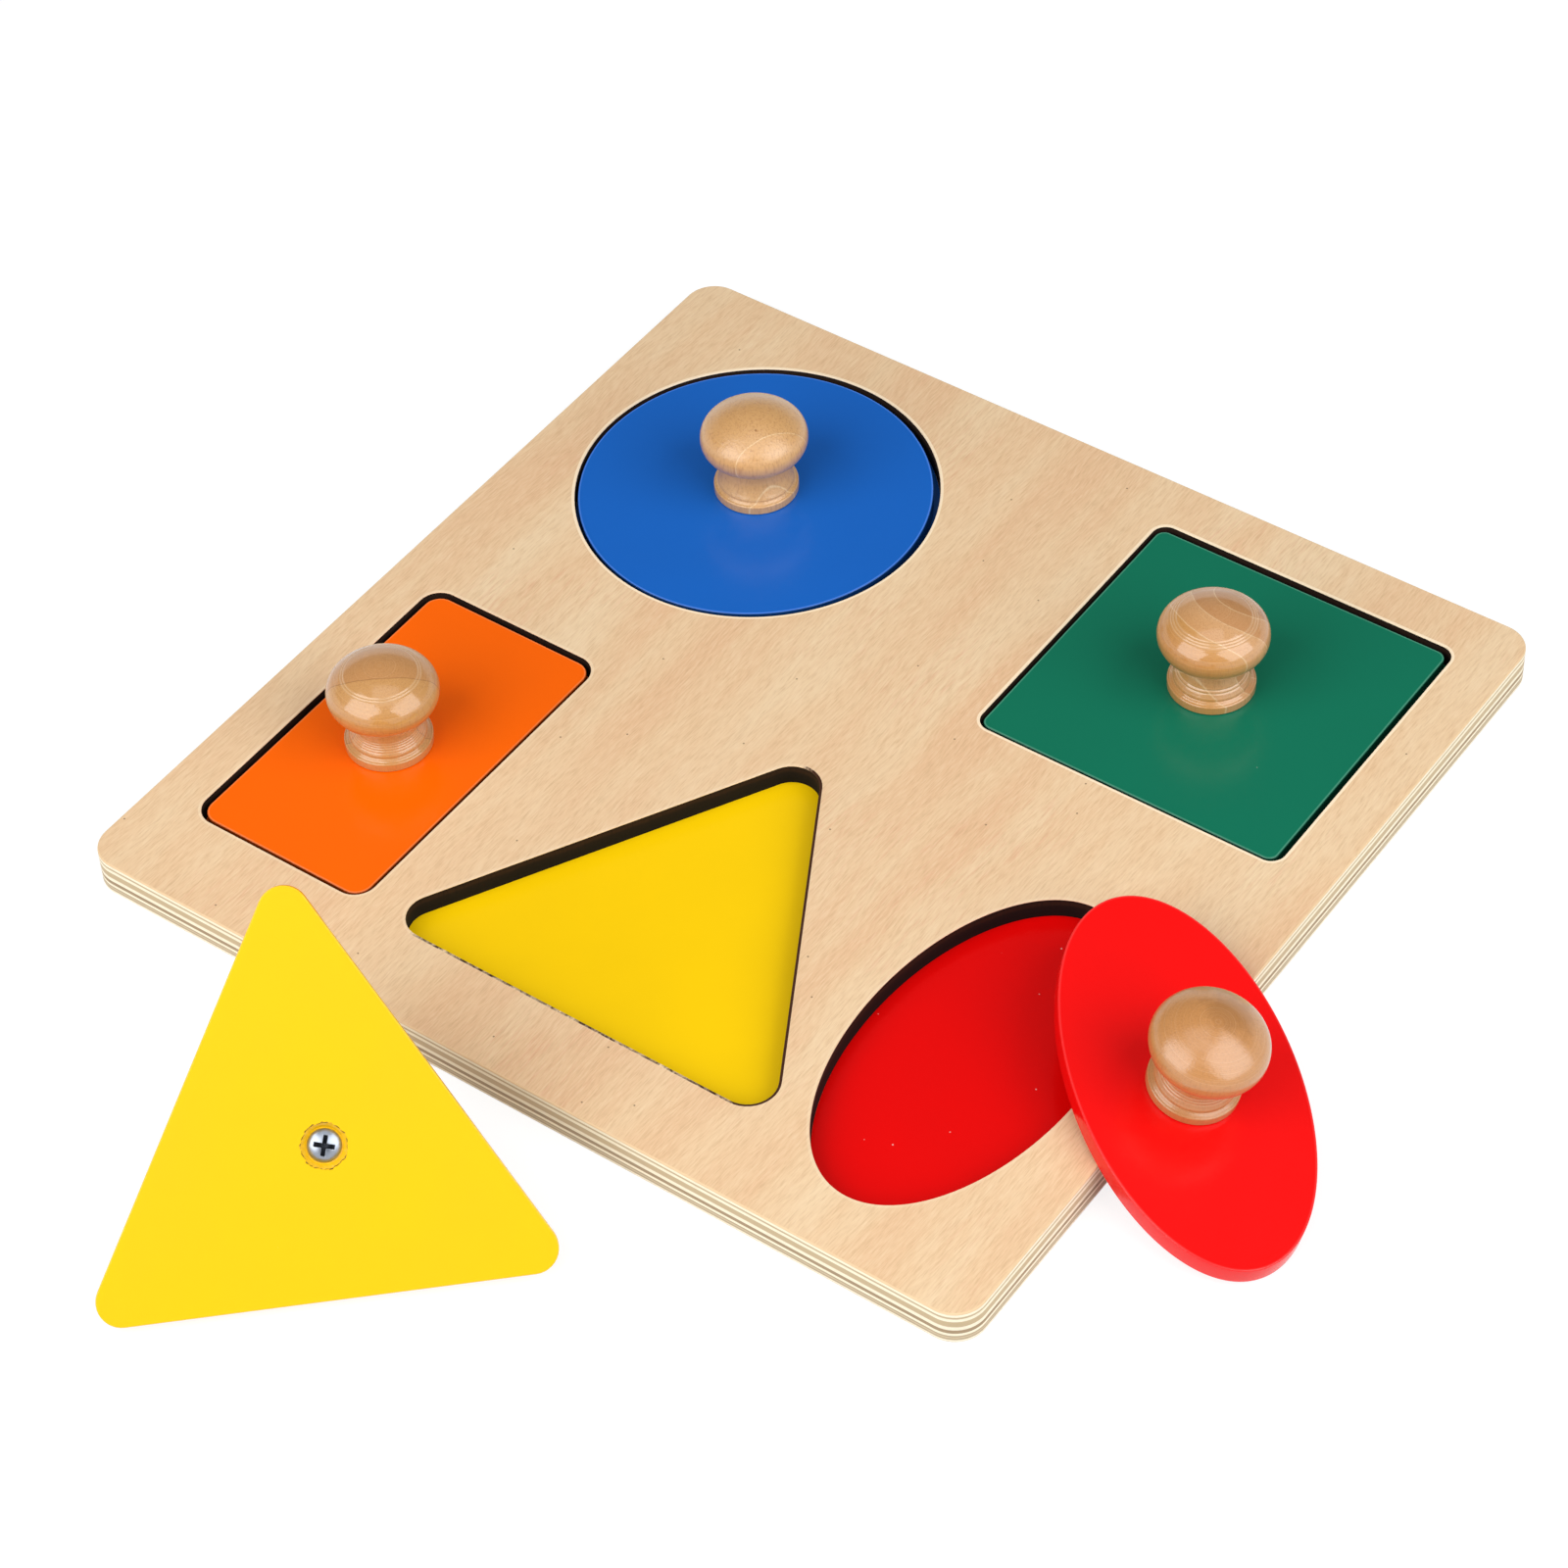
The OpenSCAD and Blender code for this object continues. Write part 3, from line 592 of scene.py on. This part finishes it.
def knob_profile():
    """Half of the knob's outline, from the middle of its foot to the middle of its top: the foot's upright
    ring, a hollow up to the neck, the throat, and the head's under side, rim and dome, all as arcs that
    run into each other."""
    rim = (head_r - head_rim_r, head_z)
    under = (head_r - head_under_r, head_z)
    rise = knob_h - head_z
    dome_r = (rim[0] ** 2 + rise ** 2 - head_rim_r ** 2) / (2 * (rise - head_rim_r))
    dome = (0, knob_h - dome_r)
    dome_from = atan2(rim[1] - dome[1], rim[0])
    neck_in = head_r - neck_r
    throat_r = (neck_in ** 2 + (head_z - neck_z) ** 2) / (2 * neck_in) - head_under_r
    throat = (neck_r + throat_r, neck_z)
    throat_to = atan2(under[1] - throat[1], under[0] - throat[0])
    hollow_in = foot_r - foot_step - neck_r
    hollow_rise = neck_z - foot_h - foot_arris_r / 2
    hollow_r = (hollow_in ** 2 + hollow_rise ** 2) / (2 * hollow_in)
    hollow_from = pi + atan2(hollow_rise, hollow_r - hollow_in)
    ring = foot_r - foot_arris_r
    return np.concatenate([
        arc((ring, foot_arris_r), foot_arris_r, -pi / 2, 0, 6),
        arc((ring, foot_h - foot_arris_r), foot_arris_r, 0, pi / 2, 6),
        arc((neck_r + hollow_r, neck_z), hollow_r, hollow_from, pi, 30)[:-1],
        arc(throat, throat_r, pi, throat_to)[:-1],
        arc(under, head_under_r, throat_to - pi, 0)[:-1],
        arc(rim, head_rim_r, 0, dome_from, 30)[:-1],
        arc(dome, dome_r, dome_from, pi / 2, 60)[:-1]])


def spun(profile, count):
    """A profile of (radius, height) rows turned round the Z axis: each row becomes a ring of count points
    (r cos t, r sin t, z)."""
    angle = np.linspace(0, 2 * pi, count, endpoint=False)
    plan = profile[:, 0, None, None] * np.stack([np.cos(angle), np.sin(angle)], 1)
    height = np.broadcast_to(profile[:, 1, None, None], (*plan.shape[:2], 1))
    return np.concatenate([plan, height], 2).reshape(-1, 3)


def varnished_beech(name, heart, bands, line, patch_at, patch_r, patch_share, pore_w, tooth, coat_roughness):
    """Clear-varnished beech. Growth rings lie round the tree's heart, a place in millimetres from the knob's
    axis: each band (outer radius, inner tone, outer tone) ends in a thin line. A darker patch clouds it,
    short pores run up the grain, and turning marks go round the axis. The tooth is how far the open pores
    roughen the varnish."""
    material, tree = new_material(name)
    place = node(tree, "Attribute", {}, "Vector", attribute_name="turned")
    warp = node(tree, "TexNoise", {"Vector": place, "Scale": 1 / 14, "Detail": 2})
    # The rings wander by up to 0.9 mm over 14 mm, and lean a little as they rise
    bend = node(tree, "MapRange", {"Value": warp, "To Min": -0.9, "To Max": 0.9})
    from_heart = node(tree, "VectorMath", {0: place, 1: (*heart, 0)}, operation="SUBTRACT")
    across = node(tree, "VectorMath", {0: from_heart, 1: (1, 1, 0.04)}, operation="MULTIPLY")
    distance = node(tree, "VectorMath", {0: across}, "Value", operation="LENGTH")
    bent = node(tree, "Math", {0: distance, 1: bend}, operation="ADD")
    nearest, reach = max(hypot(*heart) - head_r, 0), 2 * head_r
    share = node(tree, "MapRange", {"Value": bent, "From Min": nearest, "From Max": nearest + reach})
    inner, stops = nearest, []
    for outer, inner_tone, outer_tone in bands:
        stops += [(inner + growth_line_w, inner_tone), (outer - growth_line_w, outer_tone), (outer, line)]
        inner = outer
    ring = node(tree, "ValToRGB", {"Fac": share}, stops=[
        (min((radius - nearest) / reach, 1), linear(tone)) for radius, tone in stops[:-1]])
    # The patch frays over about 3 mm
    from_patch = node(tree, "VectorMath", {0: place, 1: patch_at}, "Value", operation="DISTANCE")
    fray = node(tree, "TexNoise", {"Vector": place, "Scale": 1 / 3, "Detail": 4, "Roughness": 0.65})
    frayed = node(tree, "Math", {0: fray, 1: patch_r, 2: from_patch}, operation="MULTIPLY_ADD")
    patch_in = node(tree, "MapRange", {"Value": frayed, "From Min": 0.9 * patch_r, "From Max": 1.3 * patch_r,
                                       "To Min": patch_share, "To Max": 0.0})
    clouded = node(tree, "Mix", {0: patch_in, 6: ring, 7: linear("#99642f")}, 2, data_type="RGBA")
    # Pores run 4 mm up the grain, and show their ends on the top
    pores = node(tree, "Mapping", {"Vector": place, "Scale": (1 / pore_w, 1 / pore_w, 1 / 4)})
    pore = node(tree, "TexNoise", {"Vector": pores, "Scale": 1.0, "Detail": 2, "Roughness": 0.6})
    pore_in = node(tree, "MapRange", {"Value": pore, "From Min": 0.48, "From Max": 0.72, "To Max": 0.5})
    pored = node(tree, "Mix", {0: pore_in, 6: clouded, 7: linear("#a86f3b")}, 2, data_type="RGBA")
    # Turning marks about 0.45 mm apart, bunched where the tool dwelt
    flat = node(tree, "VectorMath", {0: place, 1: (1, 1, 0)}, operation="MULTIPLY")
    radius = node(tree, "VectorMath", {0: flat}, "Value", operation="LENGTH")
    up = node(tree, "SeparateXYZ", {"Vector": place}, "Z")
    along = node(tree, "Math", {0: radius, 1: up}, operation="SUBTRACT")
    marks = node(tree, "TexNoise", {"W": along, "Scale": 1 / 0.45, "Detail": 3, "Roughness": 0.65},
                 noise_dimensions="1D")
    mark_in = node(tree, "MapRange", {"Value": marks, "From Min": 0.52, "From Max": 0.78, "To Max": 0.2})
    marked = node(tree, "Mix", {0: mark_in, 6: pored, 7: linear("#f0cfa4")}, 2, data_type="RGBA")
    # The rings and grooves are painted pale, for the varnish lying in them and the highlight along them
    groove = node(tree, "Attribute", {}, "Fac", attribute_name="groove")
    colour = node(tree, "Mix", {0: groove, 6: marked, 7: linear("#f5deba")}, 2, data_type="RGBA")
    rough = node(tree, "Math", {0: pore, 1: tooth, 2: marks}, operation="MULTIPLY_ADD")
    bump = node(tree, "Bump", {"Height": rough, "Strength": 0.4, "Distance": 0.08 * MM})
    film = node(tree, "Bump", {"Height": rough, "Strength": 0.09 * tooth, "Distance": 0.08 * MM})
    surface = node(tree, "BsdfPrincipled", {
        "Base Color": colour, "Roughness": 0.5, "Normal": bump, "Coat Weight": 1.0,
        "Coat Roughness": coat_roughness, "Coat IOR": 1.6, "Coat Normal": film})
    node(tree, "OutputMaterial", {"Surface": surface})
    return material


def turned(profile, dome_rings, flat, grooves):
    """A knob's outline with the marks of its own turning: inside the widest dome ring, of radius a, the dome
    is flatter by flat (1 - (r / a)^2). Each dome ring is a dent round the axis, and each groove (height,
    depth, width) is a dent of depth exp(-(dz / width)^2) below the head. Returns the outline, and how pale
    each of its points is painted: pale in the rings and in narrow grooves, for the varnish in them and the
    highlight along them."""
    r, z = profile.T
    on_dome = z > head_z
    a = max(dome_rings, default=head_r)
    z = z - np.where(on_dome & (r < a), flat * (1 - (r / a) ** 2), 0)
    rings = sum(np.exp(-((r - ring) / groove_w) ** 2) for ring in dome_rings) * on_dome
    dents = [(depth * np.exp(-((z - height) / width) ** 2) * ~on_dome, width)
             for height, depth, width in grooves]
    dent = sum(amount for amount, _ in dents)
    lines = sum(amount / groove_depth for amount, width in dents if width <= groove_w)
    outline = np.stack([r - dent, z - ring_depth * rings], 1)
    return outline, np.clip(ring_pale * rings + groove_pale * lines, 0, most_pale)


knob_wood = {
    "circle": dict(
        heart=(48, -25.8), bands=[(44.6, "#dcac73", "#d8a66c"), (72, "#d4a368", "#cf9b60")], line="#f0d2a2",
        patch_at=(5, -5.5, 29.4), patch_r=0.6, patch_share=0.85, pore_w=0.6, tooth=3.8, coat_roughness=0.17),
    "square": dict(
        heart=(3.3, 13.0), bands=[(10.0, "#b98349", "#bd8753"), (16.3, "#c6925f", "#c38c58"),
                                  (22.5, "#d3a16e", "#cc965e"), (31, "#c9924f", "#c28643")], line="#e6c496",
        patch_at=(10.5, 10.5, 25), patch_r=4, patch_share=0.7, pore_w=0.35, tooth=0.8, coat_roughness=0.08),
    "rectangle": dict(
        heart=(-27.5, 34.7), bands=[(49.1, "#c8925a", "#c58d54"), (62, "#c99456", "#c68e4a")],
        line="#935d2c", patch_at=(-5, -6, 28.5), patch_r=0.4, patch_share=0.85, pore_w=0.4, tooth=1.4,
        coat_roughness=0.08),
    "triangle": dict(
        heart=(30, 12), bands=[(22, "#d3a06a", "#c68e54"), (29, "#d6a46e", "#c79056"),
                               (36, "#d6a46e", "#c89258"), (49, "#d3a16a", "#ca945a")], line="#e6c496",
        patch_at=(-6, 5, 29), patch_r=4, patch_share=0.5, pore_w=0.4, tooth=1.0, coat_roughness=0.1),
    "oval": dict(
        heart=(34, 30), bands=[(80, "#c88d52", "#c08347")], line="#dcb07c",
        patch_at=(5.0, 2.8, 29.5), patch_r=11, patch_share=0.5, pore_w=0.5, tooth=2.6, coat_roughness=0.1),
}
# The cove above the foot is a groove (height, depth, width) too, and all but one of the knobs share it
foot_cove = (3.9, 0.6, 0.5)
knob_turning = {
    "circle": dict(dome_rings=[], flat=0, grooves=[(3.8, 0.35, 0.5)]),
    "square": dict(dome_rings=[12.6, 11.9, 11.1], flat=0.35,
                   grooves=[foot_cove, (6.2, 0.2, 0.2), (7.2, 0.25, 0.2)]),
    "rectangle": dict(dome_rings=[11.6, 10.9], flat=0.26,
                      grooves=[foot_cove, (5.6, 0.12, 0.2), (6.3, 0.16, 0.18), (7.0, 0.16, 0.18),
                               (7.7, 0.14, 0.18), (8.4, 0.1, 0.18)]),
    "triangle": dict(dome_rings=[11.8, 11.0], flat=0.4,
                     grooves=[foot_cove, (6.0, 0.16, 0.2), (6.9, 0.18, 0.2)]),
    "oval": dict(dome_rings=[], flat=0,
                 grooves=[foot_cove, (6.2, 0.1, 0.2), (7.0, 0.12, 0.2), (7.8, 0.1, 0.2)]),
}
corners = knob_profile()
length = np.concatenate([[0], np.cumsum(np.linalg.norm(np.diff(corners, axis=0), axis=1))])
stations = np.linspace(0, length[-1], profile_steps)
profile = np.stack([np.interp(stations, length, corners[:, i]) for i in (0, 1)], 1)
crown = (profile_steps - 1) * knob_round + np.arange(knob_round)[None]
foot = np.arange(knob_round)[None, ::-1]
faces = ring_faces(profile_steps, knob_round)[:, ::-1]
for shape in SHAPES:
    own_profile, groove = turned(profile, **knob_turning[shape])
    local = spun(own_profile, knob_round)
    at = Matrix.Translation((*hole[shape], plate_t))
    add_piece(shape + "_knob_turned", shape + "_inset", "knob_wood", carried(local, seats[shape] @ at),
              [(faces, 0, True), (foot, 0, False), (crown, 0, True)],
              [varnished_beech(shape + "_knob_beech", **knob_wood[shape])], turned=local,
              groove=np.repeat(groove, knob_round))


# Screws
# A zinc-plated cross-head screw holds each knob from the back of its plate. Its low domed head sits in
# the counterbore, and its shank goes through the plate into the knob.
screw_head_r = 4.5
screw_rim_h = 0.7
screw_dome_h = 1.5
screw_r = 2.0
screw_tip_r = 0.25
screw_l = 20.0
screw_point = 4.0
cross_turn = radians(16)
cross_half_l = 2.7
cross_end_w = 0.5
cross_past_end = 0.15
cross_half_w = 0.55
cross_wall_w = 0.12
cross_t = 1.5
cross_slope = 0.25
cross_dark_t = 0.6
screw_round = 160
screw_dome_rings = 70
screw_hub_share = 0.01


def cross_depth(x, y):
    """Depth of the cross recess, the deeper of two crossed slots. A slot's depth falls from the middle at a
    steady slope, and to nothing across its sloping walls and ends."""
    def slot(a, b):
        walls = np.clip((cross_half_w + cross_wall_w / 2 - np.abs(b)) / cross_wall_w, 0, 1)
        ends = np.clip((cross_half_l + cross_past_end - np.abs(a)) / cross_end_w, 0, 1)
        return walls * ends * (cross_t - cross_slope * np.abs(a))
    return np.maximum(slot(x, y), slot(y, x))


def zinc_plate():
    """Bright zinc plate on a pressed steel screw: a cool silver with a soft polish, its cross recess painted
    darker with depth, for oxide in it and as painted shade.
    """
    material, tree = new_material("zinc_plated_steel")
    place = node(tree, "TexCoord", {}, "Object")
    mm = node(tree, "Mapping", {"Vector": place, "Scale": (1 / MM,) * 3})
    mottle = node(tree, "TexNoise", {"Vector": mm, "Scale": 1 / 1.1, "Detail": 3})
    # The cross recess is painted darker the deeper it goes: painted shade, and oxide in it
    depth = node(tree, "Attribute", {}, "Fac", attribute_name="recess")
    bright = node(tree, "Mix", {0: mottle, 6: linear("#8f97a5"), 7: linear("#adb4c0")}, 2, data_type="RGBA")
    colour = node(tree, "Mix", {0: depth, 6: bright, 7: linear("#2c2f36")}, 2, data_type="RGBA")
    gloss = node(tree, "MapRange", {"Value": mottle, "To Min": 0.24, "To Max": 0.38})
    surface = node(tree, "BsdfPrincipled", {"Base Color": colour, "Metallic": 1.0, "Roughness": gloss})
    node(tree, "OutputMaterial", {"Surface": surface})
    return material


zinc = zinc_plate()
head_h = screw_rim_h + screw_dome_h
ball_r = (screw_head_r ** 2 + screw_dome_h ** 2) / (2 * screw_dome_h)
dome_x = screw_head_r * np.linspace(screw_hub_share, 1, screw_dome_rings)
dome_z = counterbore_t - head_h + ball_r - np.sqrt(ball_r ** 2 - dome_x ** 2)
shank = [(screw_head_r, counterbore_t), (screw_r, counterbore_t),
         (screw_r, counterbore_t + screw_l - screw_point), (screw_tip_r, counterbore_t + screw_l)]
screw_profile = np.concatenate([np.stack([dome_x, dome_z], 1), shank])
local = spun(screw_profile, screw_round)
turned_xy = local[:, :2] @ [[cos(cross_turn), -sin(cross_turn)], [sin(cross_turn), cos(cross_turn)]]
depth = cross_depth(*turned_xy.T)
depth[screw_dome_rings * screw_round:] = 0
local[:, 2] += depth
faces = ring_faces(len(screw_profile), screw_round)[:, ::-1]
dome_faces, shank_faces = np.split(faces, [screw_dome_rings * screw_round])
middle = np.arange(screw_round)[None, ::-1]
tip = (len(screw_profile) - 1) * screw_round + np.arange(screw_round)[None]
for shape in SHAPES:
    at = Matrix.Translation((*hole[shape], 0))
    add_piece(shape + "_screw_plated", shape + "_inset", "screw_steel", carried(local, seats[shape] @ at),
              [(dome_faces, 0, True), (shank_faces, 0, False), (middle, 0, True), (tip, 0, True)], [zinc],
              recess=np.clip(depth / cross_dark_t, 0, 1))


# Table and backdrop
# A white sweep: a flat floor that curves up into a low wall all round. It looks plain white to the camera
# and in reflections, and keeps the puzzle's soft shadow. Its sizes are in metres.
sweep_r = 6.0
cove_r = 1.2
sweep_h = 2.0
sweep_hub_r = 0.01
sweep_floor_rings = 8
sweep_cove_rings = 13
sweep_round = 64


def white_sweep():
    """White paper that glows just enough to look white where the camera or a reflection sees it."""
    material, tree = new_material("white_paper_sweep")
    seen = node(tree, "LightPath", {}, "Is Camera Ray")
    mirrored = node(tree, "LightPath", {}, "Is Glossy Ray")
    through = node(tree, "LightPath", {}, "Is Transmission Ray")
    either = node(tree, "Math", {0: seen, 1: mirrored}, operation="MAXIMUM")
    shown = node(tree, "Math", {0: either, 1: through}, operation="MAXIMUM")
    paper = node(tree, "BsdfDiffuse", {"Color": (0.8, 0.8, 0.8, 1)})
    dim = node(tree, "BsdfDiffuse", {"Color": (0.25, 0.25, 0.25, 1)})
    glow = node(tree, "Emission", {"Color": (1, 1, 1, 1), "Strength": 0.82})
    lit = node(tree, "AddShader", {0: dim, 1: glow})
    surface = node(tree, "MixShader", {"Fac": shown, 1: paper, 2: lit})
    node(tree, "OutputMaterial", {"Surface": surface})
    return material


bend = np.linspace(0, pi / 2, sweep_cove_rings)
flat_r = np.linspace(sweep_hub_r, sweep_r - cove_r, sweep_floor_rings)
sweep_profile = np.concatenate([
    np.stack([flat_r, np.zeros(sweep_floor_rings)], 1),
    np.stack([sweep_r - cove_r + cove_r * np.sin(bend), cove_r * (1 - np.cos(bend))], 1),
    [[sweep_r, sweep_h]]])
faces = ring_faces(len(sweep_profile), sweep_round).tolist() + [list(range(sweep_round))]
mesh = bpy.data.meshes.new("sweep")
mesh.from_pydata(spun(sweep_profile, sweep_round).tolist(), [], faces)
mesh.materials.append(white_sweep())
sweep = bpy.data.objects.new("sweep", mesh)
bpy.context.scene.collection.objects.link(sweep)


# Light
# Two large soft boxes stand left and right of the camera, a weaker one hangs overhead, and the room
# gives a dim even fill.
lamp_aim = Vector((0, -0.03, 0.01))
fill_strength = 0.1


def soft_box(name, azimuth, elevation, distance, size, power):
    """A square lamp at an azimuth from the board's front edge and an elevation, in degrees, that faces
    the board. Its distance and size are in metres, and its power is in watts."""
    a, e = radians(azimuth), radians(elevation)
    back = Vector((sin(a) * cos(e), -cos(a) * cos(e), sin(e)))
    lamp = bpy.data.lights.new(name, "AREA")
    lamp.shape, lamp.size, lamp.energy = "SQUARE", size, power
    holder = bpy.data.objects.new(name, lamp)
    holder.location = lamp_aim + distance * back
    holder.rotation_euler = back.to_track_quat("Z", "Y").to_euler()
    bpy.context.scene.collection.objects.link(holder)


soft_box("left_box", azimuth=-18, elevation=40, distance=1.4, size=1.3, power=17)
soft_box("right_box", azimuth=92, elevation=40, distance=1.4, size=1.3, power=16)
soft_box("top_box", azimuth=37, elevation=84, distance=1.6, size=1.0, power=3.6)
world = bpy.data.worlds.new("room")
world.use_nodes = True
world.node_tree.nodes.clear()
fill = node(world.node_tree, "Background", {"Color": (1, 1, 1, 1), "Strength": fill_strength})
node(world.node_tree, "OutputWorld", {"Surface": fill})
bpy.context.scene.world = world


# Camera
# It stands before the board and to its right, and looks down at it through a long lens.
camera_at = (544.95, -729.17, 941.54)
camera_aim = (-6.60, -9.96, 0)
camera_roll = -2.904
camera_lens = 103.97
camera_sensor_w = 36

camera = bpy.data.cameras.new("camera")
camera.lens = camera_lens
camera.sensor_width = camera_sensor_w
holder = bpy.data.objects.new("camera", camera)
sight = (Vector(camera_aim) - Vector(camera_at)) * MM
holder.rotation_mode = "QUATERNION"
holder.rotation_quaternion = sight.to_track_quat("-Z", "Y") @ Quaternion((0, 0, 1), radians(camera_roll))
holder.location = Vector(camera_at) * MM
bpy.context.scene.collection.objects.link(holder)
bpy.context.scene.camera = holder
bpy.context.scene.view_settings.view_transform = "Standard"
